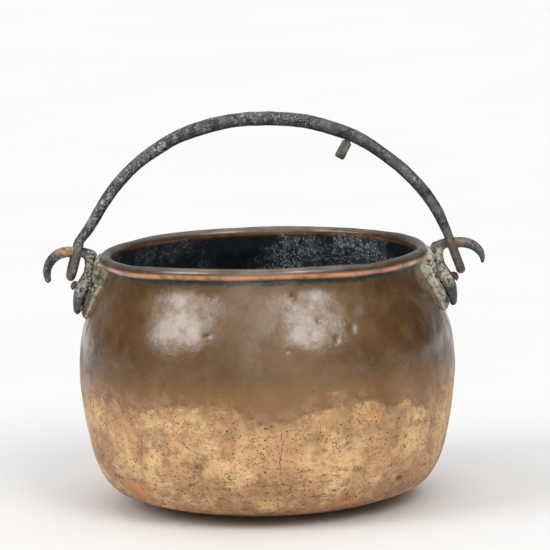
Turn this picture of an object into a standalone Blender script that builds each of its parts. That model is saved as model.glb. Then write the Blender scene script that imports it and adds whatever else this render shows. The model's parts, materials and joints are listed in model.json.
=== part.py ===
"""Round copper cauldron kettle with forged iron ear hooks and a swinging iron bail.

Metres, +Z up. The origin is the centre of the flat base, the ears lie on the X axis,
and the bail stands upright in the XZ plane and swings about the X axis.
"""

import math

import bmesh
import bpy
from mathutils import Matrix, Vector

# ---------------------------------------------------------------- driving dimensions
GAP = 0.0003                      # play left between pieces that touch
TURN_STEPS = 40                   # facets around the kettle
BORE_STEPS = 12                   # facets around a rivet or its hole
BORE_TWIST = math.radians(7)      # turns a hole's corners away from the corners it cuts through
BORE_REACH = (-0.040, 0.004)      # where a hole's cutter starts and ends along its rivet

SHEET = 0.0018                    # copper sheet thickness
SEAM_Z = 0.110                    # height of the brazed lap between wall and pan
LAP = 0.012                       # how far the pan runs up inside the wall
BASE_FLAT_RADIUS = 0.085

# Outer face of the copper, (radius, height), from the neck down to the flat base.
BELLY = (
    (0.1494, 0.2300), (0.1505, 0.2240), (0.1545, 0.2150), (0.1602, 0.2060),
    (0.1668, 0.1930), (0.1725, 0.1810), (0.1775, 0.1630), (0.1800, 0.1400),
    (0.1798, 0.1150), (0.1757, 0.0820), (0.1672, 0.0460), (0.1530, 0.0210),
    (0.1300, 0.0108), (0.1080, 0.0048), (BASE_FLAT_RADIUS, 0.0),
)
BELLY_STEPS = 2                   # facets between two neighbouring points of BELLY

BEAD_CENTRE = (0.1516, 0.2379)    # rolled rim: centre of the curl
BEAD_RADIUS = 0.0057
CURL_START = 215                  # degrees, where the neck sheet joins the curl
CURL_END = -100                   # degrees, where the rolled edge stops, below the wire
CURL_STEPS = 12

# Ear pad: (height, outer radius), bottom to top. Its back follows the copper up to
# PAD_LEAVES_Z and then stands clear of the neck, up to the side of the bead.
PAD = (
    (0.1815, 0.1757), (0.1830, 0.1770), (0.1868, 0.1766), (0.1925, 0.1748), (0.2000, 0.1720),
    (0.2065, 0.1693), (0.2120, 0.1668), (0.2180, 0.1645), (0.2245, 0.1629), (0.2300, 0.1624),
    (0.2345, 0.1617), (0.2362, 0.1607),
)
PAD_HALF_WIDTH = 0.0180
PAD_CORNER = 0.0060               # how much narrower the pad is at its lower and upper edge
PAD_CHAMFER = 0.0014
PAD_LEAVES_Z = 0.2140
PAD_TOP_BACK = BEAD_CENTRE[0] + BEAD_RADIUS + GAP
PAD_ARC_STEPS = 6

# Ear strap, from its lower end up to the root of the horn:
# (inner x, inner z), (outer x, outer z), half width, squareness (2 round, more is squarer).
STRAP = (
    ((0.1788, 0.1849), (0.1823, 0.1853), 0.0060, 3.0),
    ((0.1773, 0.1868), (0.1838, 0.1880), 0.0088, 3.5),
    ((0.1754, 0.1925), (0.1843, 0.1945), 0.0096, 4.0),
    ((0.1726, 0.2000), (0.1838, 0.2035), 0.0098, 4.0),
    ((0.1699, 0.2065), (0.1819, 0.2100), 0.0096, 4.0),
    ((0.1674, 0.2120), (0.1795, 0.2155), 0.0090, 4.0),
    ((0.1650, 0.2180), (0.1766, 0.2200), 0.0080, 3.5),
    ((0.1635, 0.2245), (0.1732, 0.2255), 0.0064, 3.0),
    ((0.1630, 0.2300), (0.1721, 0.2305), 0.0056, 2.6),
    ((0.1618, 0.2372), (0.1718, 0.2347), 0.0055, 2.5),
    ((0.1596, 0.2418), (0.1722, 0.2376), 0.0056, 2.5),
    ((0.1618, 0.2454), (0.1736, 0.2393), 0.0056, 2.5),
    ((0.1680, 0.2478), (0.1756, 0.2400), 0.0053, 2.3),
)
HORN_AXIS_Z = 0.2450              # centre of the round bar that the bail's eye hangs on
HORN_RADIUS = 0.0050
HORN_STRAIGHT = (0.1772, 0.1880)  # x where the round bar starts and where it bends down
SECTION_POINTS = 14
HORN_STEPS = 9
# Each horn bends down along a quarter ellipse: reach in x, drop in z, last angle, tip radius.
RIGHT_HORN = (0.0213, 0.0170, -8, 0.0012)
LEFT_HORN = (0.0205, 0.0210, -17, 0.0030)

# Rivets: (radius, height) of the seat under the head, slope of the rivet above the horizontal.
RIVET_SLOPE = math.radians(26.6)
MAIN_RIVET_SEAT = (0.1814, 0.2118)
MAIN_SHANK_RADIUS = 0.0030
MAIN_HEAD_RADIUS = 0.0052
MAIN_HEAD_HEIGHT = 0.0045
PAD_RIVET_ARC = 0.0135            # distance of a pad rivet from the strap's middle, around the pad
PAD_RIVET_HEIGHTS = {"upper": 0.2150, "lower": 0.1920}
PAD_SHANK_RADIUS = 0.0020
PAD_HEAD_RADIUS = 0.0033
PAD_HEAD_HEIGHT = 0.0024
MAIN_TAIL = (0.0048, 0.0020)      # radius and height of the peened tail inside
PAD_TAIL = (0.0032, 0.0012)
TAIL_PLAY = 0.0013                # play between a peened tail and the sheet at its middle
ROVE_RADIUS = 0.0075
ROVE_THICKNESS = 0.0015

# Bail: centreline (x, z) and rod radius, from the left eye over the crown to the right.
BAIL_ARCH = (
    (-0.1660, 0.2680, 0.0050), (-0.1520, 0.2905, 0.0053), (-0.1340, 0.3135, 0.0055),
    (-0.1080, 0.3363, 0.0057), (-0.0640, 0.3588, 0.0061), (0.0080, 0.3687, 0.0065),
    (0.0784, 0.3545, 0.0062), (0.1200, 0.3295, 0.0057), (0.1465, 0.3048, 0.0055),
    (0.1645, 0.2805, 0.0052),
)
EYE_BAR_RADIUS = 0.0045
EYE_HOLE_RADIUS = 0.0061
# Eyes: x of the pivot, outward lean, twist about the leg, length between the two round ends.
LEFT_EYE = (-0.1791, math.radians(16), math.radians(7), 0.0142)
RIGHT_EYE = (0.1794, math.radians(19), math.radians(2), 0.0168)
EYE_ARC_STEPS = 9
EYE_SIDES = 3                     # bevel resolution of the eye and the arch

PEG_FOOT = (0.0860, 0.0, 0.3500)  # on the rod's centreline
PEG_SLOPE = math.radians(29)      # lean of the peg from straight down, towards the centre
PEG_SIZE = (0.0095, 0.0085, 0.0172)
PEG_TENON_RADIUS = 0.0028
PEG_TENON_LENGTH = 0.0065
PEG_SHOULDER = 0.0064             # distance of the peg's shoulder from the rod's centreline
PEG_EDGE = 0.0014

COPPER_DARK = (0.235, 0.115, 0.052)
COPPER_BARE = (0.430, 0.245, 0.140)
IRON = (0.055, 0.050, 0.047)
PAD_CRUST = (0.330, 0.335, 0.285)
RIVET_BROWN = (0.130, 0.075, 0.055)
PEG_OLIVE = (0.085, 0.085, 0.060)


# ---------------------------------------------------------------- scene and materials
def clear_scene():
    for thing in list(bpy.data.objects):
        bpy.data.objects.remove(thing, do_unlink=True)


def make_collection(name):
    collection = bpy.data.collections.new(name)
    bpy.context.scene.collection.children.link(collection)
    return collection


def make_material(name, colour, roughness, metallic):
    material = bpy.data.materials.new(name)
    material.use_nodes = True
    shader = material.node_tree.nodes["Principled BSDF"]
    shader.inputs["Base Color"].default_value = (*colour, 1.0)
    shader.inputs["Roughness"].default_value = roughness
    shader.inputs["Metallic"].default_value = metallic
    return material


def add_object(name, mesh, material, collection):
    thing = bpy.data.objects.new(name, mesh)
    collection.objects.link(thing)
    if material is not None:
        mesh.materials.append(material)
    return thing


def smooth_mesh(mesh, angle=math.radians(35)):
    mesh.shade_smooth()
    mesh.set_sharp_from_angle(angle=angle)


# ---------------------------------------------------------------- outlines
def smooth_through(points, steps):
    """Points of a smooth curve (Catmull-Rom) that passes through every given point."""
    ends = [points[0], *points, points[-1]]
    curve = []
    for i in range(1, len(ends) - 2):
        a, b, c, d = (Vector(p) for p in ends[i - 1:i + 3])
        for k in range(steps):
            t = k / steps
            curve.append(0.5 * (2 * b + (c - a) * t + (2 * a - 5 * b + 4 * c - d) * t ** 2
                                + (3 * b - a - 3 * c + d) * t ** 3))
    curve.append(Vector(points[-1]))
    return curve


def offset(line, distance):
    """The line moved sideways: to its left for a positive distance."""
    moved = []
    for i, point in enumerate(line):
        ahead = line[min(i + 1, len(line) - 1)]
        behind = line[max(i - 1, 0)]
        along = (ahead - behind).normalized()
        moved.append(point + Vector((-along.y, along.x)) * distance)
    return moved


def point_at_height(line, height):
    """Where a line of (radius, height) points that runs downwards crosses a height."""
    for upper, lower in zip(line, line[1:]):
        if lower.y <= height <= upper.y:
            return lower.lerp(upper, (height - lower.y) / (upper.y - lower.y))
    raise ValueError("the line doesn't reach this height")


def turned(name, profile, closed, material, collection, steps=TURN_STEPS):
    """A solid of revolution about Z, from a profile of (radius, height) points."""
    mesh = bpy.data.meshes.new(name)
    edges = [(i, i + 1) for i in range(len(profile) - 1)]
    if closed:
        edges.append((len(profile) - 1, 0))
    mesh.from_pydata([(p[0], 0.0, p[1]) for p in profile], edges, [])
    thing = add_object(name, mesh, material, collection)
    screw = thing.modifiers.new("turn", "SCREW")
    screw.axis = "Z"
    screw.steps = steps
    screw.render_steps = steps
    screw.use_merge_vertices = True
    screw.merge_threshold = 0.00001
    screw.use_smooth_shade = True
    return thing


def loft(name, rings, material, collection):
    """A closed body through rings that all have the same number of points."""
    mesh = bpy.data.meshes.new(name)
    body = bmesh.new()
    loops = [[body.verts.new(point) for point in ring] for ring in rings]
    count = len(rings[0])
    for low, high in zip(loops, loops[1:]):
        for i in range(count):
            j = (i + 1) % count
            body.faces.new((low[i], low[j], high[j], high[i]))
    for loop in (loops[0], loops[-1]):
        middle = body.verts.new(sum((vert.co for vert in loop), Vector()) / count)
        for i in range(count):
            body.faces.new((loop[i], loop[(i + 1) % count], middle))
    bmesh.ops.recalc_face_normals(body, faces=body.faces)
    body.to_mesh(mesh)
    body.free()
    smooth_mesh(mesh)
    return add_object(name, mesh, material, collection)


def cut(thing, cutter, operation="DIFFERENCE"):
    boolean = thing.modifiers.new(cutter.name, "BOOLEAN")
    boolean.operation = operation
    boolean.object = cutter
    boolean.solver = "EXACT"


def hide(cutter):
    cutter.hide_render = True
    cutter.display_type = "WIRE"
    return cutter


def attach(thing, pivot):
    """Parents a piece, or a cutter of its shape, to the pivot without moving it."""
    thing.parent = pivot
    thing.matrix_parent_inverse = pivot.matrix_world.inverted()


def curve_to_mesh(thing, collection):
    """Replaces a curve object by a mesh object of the same shape with welded caps."""
    bpy.context.view_layer.update()
    evaluated = thing.evaluated_get(bpy.context.evaluated_depsgraph_get())
    mesh = bpy.data.meshes.new_from_object(evaluated)
    body = bmesh.new()
    body.from_mesh(mesh)
    bmesh.ops.remove_doubles(body, verts=body.verts, dist=0.00001)
    body.to_mesh(mesh)
    body.free()
    smooth_mesh(mesh)
    name = thing.name
    place = thing.matrix_world.copy()
    bpy.data.objects.remove(thing, do_unlink=True)
    solid = add_object(name, mesh, None, collection)
    solid.matrix_world = place
    return solid


# ---------------------------------------------------------------- copper body
def copper_outline():
    return smooth_through(BELLY, BELLY_STEPS)


def make_wall(material, collection):
    """Upper sheet: belly, shoulder, neck and the edge rolled outwards over the rim wire."""
    outline = copper_outline()
    seam = point_at_height(outline, SEAM_Z)
    face = [p for p in outline if p.y > SEAM_Z + GAP] + [seam]
    face.reverse()
    middle = offset(face, SHEET / 2)
    curl_radius = BEAD_RADIUS - SHEET / 2
    for k in range(CURL_STEPS + 1):
        angle = math.radians(CURL_START + (CURL_END - CURL_START) * k / CURL_STEPS)
        middle.append(Vector(BEAD_CENTRE) + Vector((math.cos(angle), math.sin(angle))) * curl_radius)
    profile = offset(middle, SHEET / 2) + list(reversed(offset(middle, -SHEET / 2)))
    return turned("kettle_wall", profile, True, material, collection)


def make_pan(material, collection):
    """Lower sheet: its upper edge is set in by one sheet and runs up inside the wall."""
    outline = copper_outline()
    seam = point_at_height(outline, SEAM_Z - GAP)
    rising = [p for p in outline if SEAM_Z < p.y < SEAM_Z + LAP]
    lap = offset([point_at_height(outline, SEAM_Z + LAP), *rising, seam], -SHEET - GAP)
    below = [p for p in outline if p.y < SEAM_Z - 2 * SHEET]
    inner = offset(lap, -SHEET)
    inner[-1].y -= SHEET
    inner += offset(below, -SHEET)
    inner[-1].y = SHEET
    centre = [Vector((0.0, SHEET)), Vector((0.0, 0.0))]
    profile = centre[:1] + list(reversed(inner)) + lap + [seam] + below + centre[1:]
    return turned("kettle_pan", profile, False, material, collection)


def make_rim_wire(material, collection):
    """Iron wire that the rim's edge is rolled over."""
    radius = BEAD_RADIUS - SHEET - GAP
    ring = []
    for k in range(8):
        angle = -2 * math.pi * k / 8
        ring.append(Vector(BEAD_CENTRE) + Vector((math.cos(angle), math.sin(angle))) * radius)
    return turned("rim_wire", ring, True, material, collection)


# ---------------------------------------------------------------- ears
def pad_back_radius(height):
    """Back face of an ear pad: on the copper below, clear of the neck above."""
    outline = copper_outline()
    on_copper = point_at_height(outline, min(height, PAD_LEAVES_Z)).x + GAP
    if height <= PAD_LEAVES_Z:
        return on_copper
    share = min(1.0, (height - PAD_LEAVES_Z) / 0.010)
    return on_copper + (PAD_TOP_BACK - on_copper) * share


def pad_ring(height, outer_radius, half_width):
    back = pad_back_radius(height)
    ring = []
    for k in range(PAD_ARC_STEPS + 1):
        angle = half_width / back * (2 * k / PAD_ARC_STEPS - 1)
        ring.append((back * math.cos(angle), back * math.sin(angle), height))
    for k in range(PAD_ARC_STEPS + 1):
        angle = (half_width - PAD_CHAMFER) / outer_radius * (1 - 2 * k / PAD_ARC_STEPS)
        ring.append((outer_radius * math.cos(angle), outer_radius * math.sin(angle), height))
    return ring


def make_ear_pad(name, turn, material, collection):
    rings = []
    last = len(PAD) - 1
    for i, (height, outer_radius) in enumerate(PAD):
        narrower = PAD_CORNER if i in (0, last) else PAD_CORNER / 3 if i in (1, last - 1) else 0.0
        rings.append(pad_ring(height, outer_radius, PAD_HALF_WIDTH - narrower))
    pad = loft(name, rings, material, collection)
    pad.rotation_euler.z = turn
    return pad


def section(centre, across, half_thickness, half_width, power):
    """A superellipse ring: across is its direction in the XZ plane, its width runs along Y."""
    ring = []
    for k in range(SECTION_POINTS):
        angle = 2 * math.pi * k / SECTION_POINTS
        a = math.copysign(abs(math.cos(angle)) ** (2 / power), math.cos(angle))
        b = math.copysign(abs(math.sin(angle)) ** (2 / power), math.sin(angle))
        ring.append(centre + across * (a * half_thickness) + Vector((0, b * half_width, 0)))
    return ring


def make_ear_hook(name, turn, horn, material, collection):
    """Strap up the shoulder, round bar over the rim's side, and a horn that curls down."""
    rings = []
    for inner, outer, half_width, power in STRAP:
        low = Vector((inner[0], 0.0, inner[1]))
        high = Vector((outer[0], 0.0, outer[1]))
        rings.append(section((low + high) / 2, (high - low).normalized(),
                             (high - low).length / 2, half_width, power))
    rings.append(section(Vector((HORN_STRAIGHT[0], 0, HORN_AXIS_Z)), Vector((0.1, 0, -1)),
                         HORN_RADIUS, HORN_RADIUS, 2.0))
    reach, drop, last_angle, tip_radius = horn
    for k in range(HORN_STEPS + 1):
        share = k / HORN_STEPS
        angle = math.radians(90 + (last_angle - 90) * share)
        centre = Vector((HORN_STRAIGHT[1] + reach * math.cos(angle), 0,
                         HORN_AXIS_Z - drop + drop * math.sin(angle)))
        inward = Vector((-drop * math.cos(angle), 0, -reach * math.sin(angle))).normalized()
        radius = tip_radius + (HORN_RADIUS + 0.0001 - tip_radius) * (1 - share ** 2.2)
        rings.append(section(centre, inward, radius, radius, 2.0))
    tip = Vector((reach * math.sin(math.radians(last_angle)), 0,
                  -drop * math.cos(math.radians(last_angle)))).normalized()
    rings.append(section(centre + tip * tip_radius * 0.7, inward,
                         tip_radius * 0.5, tip_radius * 0.5, 2.0))
    hook = loft(name, rings, material, collection)
    hook.rotation_euler.z = turn
    return hook


# ---------------------------------------------------------------- rivets
def rivet_place(radius, height, slope, turn):
    """Matrix that puts local +Z along the rivet, outwards, with the origin on its seat."""
    lean = Matrix.Rotation(math.pi / 2 - slope, 4, "Y")
    return Matrix.Rotation(turn, 4, "Z") @ Matrix.Translation((radius, 0.0, height)) @ lean


def turned_rivet(name, radius, head, length, tail, place, material, collection):
    """Rivet with a domed head outside and a flat peened tail inside, length down its shank."""
    head_radius, head_height = head
    tail_radius, tail_height = tail
    dome = []
    for k in range(4):
        angle = math.radians(90 - 30 * k)
        dome.append((head_radius * math.cos(angle), GAP + head_height * math.sin(angle)))
    profile = dome + [(radius, GAP), (radius, -length), (tail_radius, -length),
                      (tail_radius * 0.8, -length - tail_height), (0.0, -length - tail_height)]
    rivet = turned(name, profile, False, material, collection, BORE_STEPS)
    rivet.matrix_world = place
    return rivet


def rivet_hole(name, radius, place, collection):
    """Cutter for the hole that a rivet passes through."""
    mesh = bpy.data.meshes.new(name)
    body = bmesh.new()
    low, high = BORE_REACH
    middle = Matrix.Translation((0, 0, (low + high) / 2))
    bmesh.ops.create_cone(body, cap_ends=True, segments=BORE_STEPS, radius1=radius + GAP,
                          radius2=radius + GAP, depth=high - low,
                          matrix=middle @ Matrix.Rotation(BORE_TWIST, 4, "Z"))
    body.to_mesh(mesh)
    body.free()
    cutter = hide(add_object(name, mesh, None, collection))
    cutter.matrix_world = place
    return cutter


def shank_length(radius, height, slope):
    """From a rivet's seat inwards to just past the copper's inner face."""
    outline = copper_outline()
    distance = 0.0
    while True:
        reach = radius - distance * math.cos(slope)
        level = height - distance * math.sin(slope)
        if reach < point_at_height(outline, level).x - SHEET / math.cos(slope):
            return distance + TAIL_PLAY
        distance += 0.0001


def make_rove(name, place, depth, material, collection):
    """Washer under the tail of a main rivet, inside the kettle."""
    top = -depth
    profile = [(ROVE_RADIUS, top), (ROVE_RADIUS, top - ROVE_THICKNESS),
               (MAIN_SHANK_RADIUS + GAP, top - ROVE_THICKNESS), (MAIN_SHANK_RADIUS + GAP, top)]
    rove = turned(name, profile, True, material, collection, BORE_STEPS)
    rove.matrix_world = place
    return rove


def pad_seat(height):
    """Radius of an ear pad's outer face at a height, and the slope of its normal there."""
    for (low_z, low_r), (high_z, high_r) in zip(PAD, PAD[1:]):
        if low_z <= height <= high_z:
            radius = low_r + (high_r - low_r) * (height - low_z) / (high_z - low_z)
            return radius, math.atan2(low_r - high_r, high_z - low_z)
    raise ValueError("the pad doesn't reach this height")


# ---------------------------------------------------------------- one ear with its rivets
def make_ear(side, turn, horn, wall, materials, parts, cutters):
    pad = make_ear_pad(f"ear_pad_{side}", turn, materials["pad"], parts)
    hook = make_ear_hook(f"ear_hook_{side}", turn, horn, materials["iron"], parts)

    radius, height = MAIN_RIVET_SEAT
    place = rivet_place(radius, height, RIVET_SLOPE, turn)
    to_copper = shank_length(radius, height, RIVET_SLOPE)
    make_rove(f"rivet_rove_{side}", place, to_copper, materials["iron"], parts)
    turned_rivet(f"main_rivet_{side}", MAIN_SHANK_RADIUS, (MAIN_HEAD_RADIUS, MAIN_HEAD_HEIGHT),
                 to_copper + ROVE_THICKNESS + GAP, MAIN_TAIL, place, materials["rivet"], parts)
    hole = rivet_hole(f"cut_main_rivet_{side}", MAIN_SHANK_RADIUS, place, cutters)
    for thing in (hook, pad, wall):
        cut(thing, hole)

    for level, height in PAD_RIVET_HEIGHTS.items():
        radius, slope = pad_seat(height)
        length = shank_length(radius, height, slope)
        for end, toward in (("front", -1), ("back", 1)):
            around = toward * math.copysign(1, math.cos(turn)) * PAD_RIVET_ARC / radius
            place = rivet_place(radius, height, slope, turn + around)
            turned_rivet(f"pad_rivet_{side}_{level}_{end}", PAD_SHANK_RADIUS,
                         (PAD_HEAD_RADIUS, PAD_HEAD_HEIGHT), length, PAD_TAIL, place,
                         materials["rivet"], parts)
            hole = rivet_hole(f"cut_{side}_{level}_{end}", PAD_SHANK_RADIUS, place, cutters)
            for thing in (pad, wall):
                cut(thing, hole)


# ---------------------------------------------------------------- bail
def eye_frame(eye):
    """Axes of an eye: its pivot, the direction up its leg, and its sideways direction."""
    x, lean, twist, _ = eye
    pivot = Vector((x, 0.0, HORN_AXIS_Z))
    up = Vector((-math.copysign(math.sin(lean), x), 0.0, math.cos(lean)))
    sideways = Matrix.Rotation(twist, 3, up) @ Vector((0.0, 1.0, 0.0))
    return pivot, up, sideways


def make_curve(name, points, radii, cyclic, kind, collection):
    data = bpy.data.curves.new(name, "CURVE")
    data.dimensions = "3D"
    data.bevel_depth = 1.0
    data.bevel_resolution = EYE_SIDES
    data.use_fill_caps = not cyclic
    data.resolution_u = 4
    spline = data.splines.new(kind)
    if kind == "BEZIER":
        spline.bezier_points.add(len(points) - 1)
        for handle, point, radius in zip(spline.bezier_points, points, radii):
            handle.co = point
            handle.radius = radius
            handle.handle_left_type = "AUTO"
            handle.handle_right_type = "AUTO"
    else:
        spline.points.add(len(points) - 1)
        for control, point, radius in zip(spline.points, points, radii):
            control.co = (*point, 1.0)
            control.radius = radius
    spline.use_cyclic_u = cyclic
    thing = bpy.data.objects.new(name, data)
    collection.objects.link(thing)
    return thing


def make_eye(name, eye, collection):
    """Forged loop with two round ends: the horn sits in the upper one."""
    pivot, up, sideways = eye_frame(eye)
    radius = EYE_HOLE_RADIUS + EYE_BAR_RADIUS
    points = []
    for centre, first in ((pivot, 0), (pivot - up * eye[3], 180)):
        for k in range(EYE_ARC_STEPS + 1):
            angle = math.radians(first + 180 * k / EYE_ARC_STEPS)
            points.append(centre + (sideways * math.cos(angle) + up * math.sin(angle)) * radius)
    curve = make_curve(name, points, [EYE_BAR_RADIUS] * len(points), True, "POLY", collection)
    return hide(curve_to_mesh(curve, collection))


def make_bail(material, parts, cutters):
    """Arched rod with an eye at each end, swinging about the X axis through the horns."""
    points = [Vector((x, 0.0, z)) for x, z, _ in BAIL_ARCH]
    radii = [radius for _, _, radius in BAIL_ARCH]
    ends = []
    for eye in (LEFT_EYE, RIGHT_EYE):
        pivot, up, _ = eye_frame(eye)
        ends.append(pivot + up * (EYE_HOLE_RADIUS + EYE_BAR_RADIUS))
    points = [ends[0], *points, ends[1]]
    radii = [EYE_BAR_RADIUS + 0.0001, *radii, EYE_BAR_RADIUS + 0.0001]
    bail = curve_to_mesh(make_curve("bail", points, radii, False, "BEZIER", parts), parts)
    bail.data.materials.append(material)
    cut(bail, make_eye("join_eye_left", LEFT_EYE, cutters), "UNION")
    cut(bail, make_eye("join_eye_right", RIGHT_EYE, cutters), "UNION")
    return bail


def make_peg(bail, material, parts, cutters):
    """Stub peg under the bail: its tenon sits in a blind hole in the rod."""
    place = Matrix.Translation(PEG_FOOT) @ Matrix.Rotation(PEG_SLOPE, 4, "Y")
    width, depth, length = PEG_SIZE
    mesh = bpy.data.meshes.new("bail_peg")
    body = bmesh.new()
    size = Matrix.Diagonal((width, depth, length, 1.0))
    middle = Matrix.Translation((0, 0, -PEG_SHOULDER - length / 2))
    bmesh.ops.create_cube(body, size=1.0, matrix=middle @ size)
    bmesh.ops.bevel(body, geom=list(body.edges), offset=PEG_EDGE, segments=2, affect="EDGES",
                    profile=0.5)
    body.to_mesh(mesh)
    body.free()
    peg = add_object("bail_peg", mesh, material, parts)
    peg.matrix_world = place
    for name, radius, top, target, operation in (
            ("join_peg_tenon", PEG_TENON_RADIUS, PEG_TENON_LENGTH, peg, "UNION"),
            ("cut_peg_hole", PEG_TENON_RADIUS + GAP, PEG_TENON_LENGTH + GAP, bail, "DIFFERENCE")):
        tool = bpy.data.meshes.new(name)
        body = bmesh.new()
        low = -PEG_SHOULDER - length / 2
        high = -PEG_SHOULDER + top
        bmesh.ops.create_cone(body, cap_ends=True, segments=BORE_STEPS, radius1=radius,
                              radius2=radius, depth=high - low,
                              matrix=Matrix.Translation((0, 0, (high + low) / 2)))
        body.to_mesh(tool)
        body.free()
        cutter = hide(add_object(name, tool, None, cutters))
        cutter.matrix_world = place
        cut(target, cutter, operation)
    return peg


# ---------------------------------------------------------------- the object
def main():
    clear_scene()
    parts = make_collection("copper_kettle")
    cutters = make_collection("cutters")
    materials = {
        "wall": make_material("patinated_copper", COPPER_DARK, 0.32, 1.0),
        "pan": make_material("bare_copper", COPPER_BARE, 0.55, 0.9),
        "iron": make_material("wrought_iron", IRON, 0.62, 0.8),
        "pad": make_material("corroded_iron", PAD_CRUST, 0.9, 0.1),
        "rivet": make_material("rivet_iron", RIVET_BROWN, 0.65, 0.5),
        "peg": make_material("peg_iron", PEG_OLIVE, 0.7, 0.5),
    }
    wall = make_wall(materials["wall"], parts)
    make_pan(materials["pan"], parts)
    make_rim_wire(materials["iron"], parts)
    make_ear("right", 0.0, RIGHT_HORN, wall, materials, parts, cutters)
    make_ear("left", math.pi, LEFT_HORN, wall, materials, parts, cutters)

    pivot = bpy.data.objects.new("bail_pivot", None)
    pivot.location.z = HORN_AXIS_Z
    parts.objects.link(pivot)
    bpy.context.view_layer.update()
    bail = make_bail(materials["iron"], parts, cutters)
    peg = make_peg(bail, materials["peg"], parts, cutters)
    shapers = [modifier.object for thing in (bail, peg) for modifier in thing.modifiers]
    for thing in (bail, peg, *shapers):
        attach(thing, pivot)


main()
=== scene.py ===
import json
import math

import bmesh
import bpy
import numpy as np
from mathutils import Matrix, Vector


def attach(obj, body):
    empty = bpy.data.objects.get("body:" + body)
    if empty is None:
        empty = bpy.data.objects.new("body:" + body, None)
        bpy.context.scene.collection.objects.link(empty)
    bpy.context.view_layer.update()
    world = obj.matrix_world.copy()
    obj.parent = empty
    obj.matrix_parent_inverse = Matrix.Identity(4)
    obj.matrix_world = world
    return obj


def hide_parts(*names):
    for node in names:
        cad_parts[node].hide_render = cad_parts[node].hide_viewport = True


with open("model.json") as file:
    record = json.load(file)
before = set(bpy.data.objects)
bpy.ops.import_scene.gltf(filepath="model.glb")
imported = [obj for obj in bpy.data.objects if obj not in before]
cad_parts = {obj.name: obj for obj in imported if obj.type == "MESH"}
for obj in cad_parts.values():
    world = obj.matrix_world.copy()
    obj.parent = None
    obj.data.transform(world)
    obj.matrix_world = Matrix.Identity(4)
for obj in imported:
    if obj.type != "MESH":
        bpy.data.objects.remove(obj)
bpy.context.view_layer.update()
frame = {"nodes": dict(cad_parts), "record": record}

# ---------------------------------------------------------------- sizes that repeat part.py, in metres
SHEET = 0.0018
LAP = 0.012
BELLY = (
    (0.1494, 0.2300), (0.1505, 0.2240), (0.1545, 0.2150), (0.1602, 0.2060),
    (0.1668, 0.1930), (0.1725, 0.1810), (0.1775, 0.1630), (0.1800, 0.1400),
    (0.1798, 0.1150), (0.1757, 0.0820), (0.1672, 0.0460), (0.1530, 0.0210),
    (0.1300, 0.0108), (0.1080, 0.0048), (0.0850, 0.0),
)
BEAD_CENTRE = (0.1516, 0.2379)
BEAD_RADIUS = 0.0057
CURL_START = 215
CURL_END = -100

PAD_HALF_WIDTH = 0.0180
PAD_FOOT = 0.1812
PAD_TOP = 0.2428
# Outer face of an ear pad: (height, radius).
PAD_FACE = (
    (0.1815, 0.1757), (0.1868, 0.1766), (0.1925, 0.1748), (0.2000, 0.1720), (0.2065, 0.1693),
    (0.2120, 0.1668), (0.2180, 0.1650), (0.2245, 0.1640), (0.2300, 0.1634), (0.2345, 0.1627),
    (0.2392, 0.1604), (0.2415, 0.1592), (PAD_TOP, 0.1580),
)
PAD_PLAY = 0.0002                 # between an ear pad and the copper behind it

# ---------------------------------------------------------------- the copper's own surface
# Azimuth is in degrees around the kettle: 0 at the front (-Y), 90 at the right ear (+X).
# Most marks on the front are placed from measurements in the photograph; the back is made up.
COLUMN_STEP = 0.7
FINE_STEP = 0.14
ROW_SPACING = 0.0018
CURL_ROWS = 34
RIM_LIFT = 0.0032                 # how far the bent rim rises at its highest
RIM_LIFT_AZIMUTH = -6
RIM_LIFT_SPREAD = 50              # short of where the swung bail comes down on the rim
RIM_LIFT_FOOT = 0.205             # the bend starts at this height
RIM_LIFT_FADE = 0.027             # and is complete this much higher
FAIRING = 70                      # rounds of smoothing of the outline, which even out its curvature
GROOVE_GAP = 0.00025              # widest opening of the lap line between wall and pan
LAP_ROWS = 6
LAP_PLAY = 0.0003                 # between the wall and the pan's edge behind it
# Where the wall's hammered-down lower edge runs: (azimuth, height).
LAP_LINE = (
    (-180, 0.113), (-166, 0.118), (-150, 0.108), (-137, 0.115), (-122, 0.119), (-108, 0.110),
    (-92, 0.119), (-78, 0.117), (-65, 0.1215), (-54, 0.119), (-46, 0.116), (-39, 0.113),
    (-32, 0.121), (-25, 0.1205), (-18, 0.1195), (-11, 0.1205), (-6, 0.114), (-2, 0.1085),
    (4, 0.104), (9, 0.109), (14, 0.116), (20, 0.119), (27, 0.1195), (33, 0.1205),
    (41, 0.110), (47, 0.114), (57, 0.1065), (65, 0.112), (75, 0.120), (90, 0.114),
    (104, 0.118), (118, 0.108), (131, 0.116), (147, 0.120), (163, 0.109),
)
# Upright brazed seams of the pan: (azimuth at the top, azimuth at the foot, top, foot).
SEAMS = ((-39.5, -46.0, 0.097, 0.029), (5.8, 4.6, 0.101, 0.019), (141.0, 138.0, 0.098, 0.024))
SEAM_DEPTH = 0.00020
SEAM_HALF_WIDTH = 0.00045
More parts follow.
